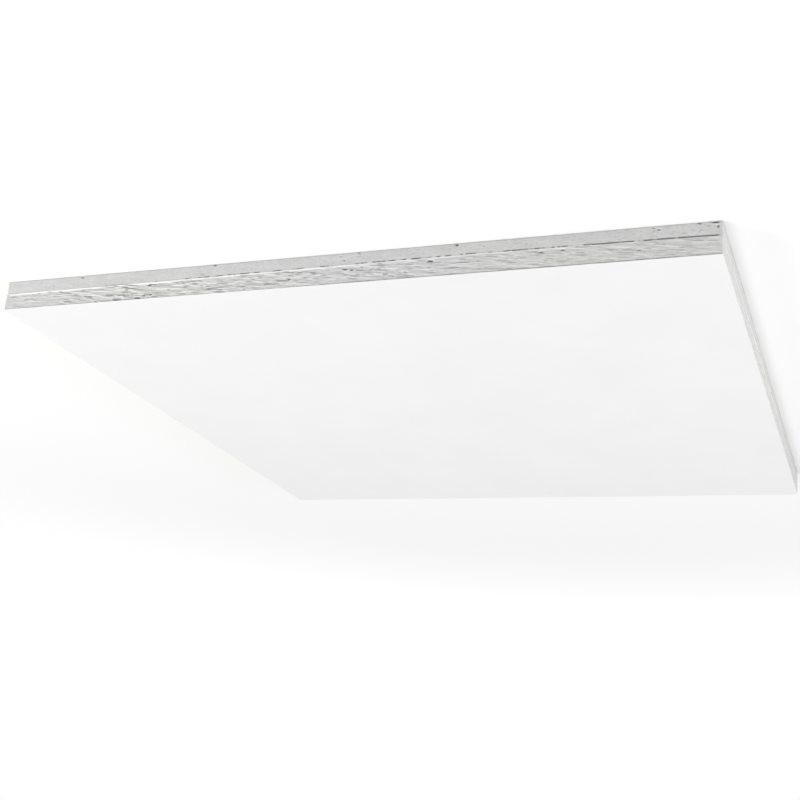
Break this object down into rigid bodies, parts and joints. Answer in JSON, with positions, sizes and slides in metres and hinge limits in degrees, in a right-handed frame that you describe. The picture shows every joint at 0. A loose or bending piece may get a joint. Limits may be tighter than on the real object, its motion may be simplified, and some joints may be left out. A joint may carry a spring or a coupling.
{
  "type": "acoustic ceiling panel",
  "caption": "Square sound-absorbing ceiling panel: yellow glass wool on a dense rear board, with a white tissue face, a paper liner behind, painted edges and one bare edge.",
  "frame": {"origin": "middle of the panel's back, on the level that it lies on", "axes": "+Z out of the white face, X and Y along the sides, with the bare edge at +X and the edge nearest the picture's camera at -Y"},
  "size_m": [0.6, 0.6, 0.026],
  "materials": {
    "face_tissue": "matt white painted glass tissue, fine dry grain with a few pinholes",
    "wool_core": "bare yellow glass wool, layered along the sheet, matt",
    "rear_board": "dense greige mineral board, cut edge with faint upright streaks, matt",
    "back_liner": "thin brownish-grey paper, matt",
    "edge_coat": "pale grey matt paint, smooth over the board and rough over the wool"
  },
  "bodies": {
    "root": {"face_tissue": "face_tissue", "wool_core": "wool_core", "rear_board": "rear_board", "back_liner": "back_liner", "edge_coat": "edge_coat"}
  },
  "joints": []
}
